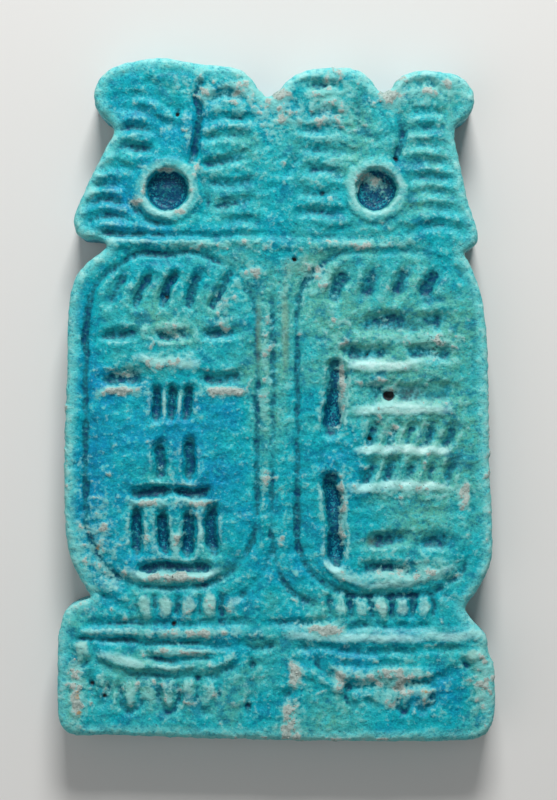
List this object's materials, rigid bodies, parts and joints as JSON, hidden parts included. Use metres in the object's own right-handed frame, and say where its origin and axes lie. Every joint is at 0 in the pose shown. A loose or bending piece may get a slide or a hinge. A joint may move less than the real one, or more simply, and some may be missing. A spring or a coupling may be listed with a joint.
{
  "type": "inscribed plaque",
  "caption": "Moulded faience plaque with feathered crown and discs, ringed fields of incised strokes and a banded base; lies flat on its back.",
  "frame": {"origin": "under the middle of the plaque, on its flat back face", "axes": "+X across the plaque to the right as its face is read, +Y from the base block towards the plumes, +Z out of the carved face"},
  "size_m": [0.0659, 0.1028, 0.009],
  "materials": {
    "glazed_faience": "worn turquoise glaze, satin"
  },
  "bodies": {
    "root": {"plaque": "glazed_faience"}
  },
  "joints": []
}
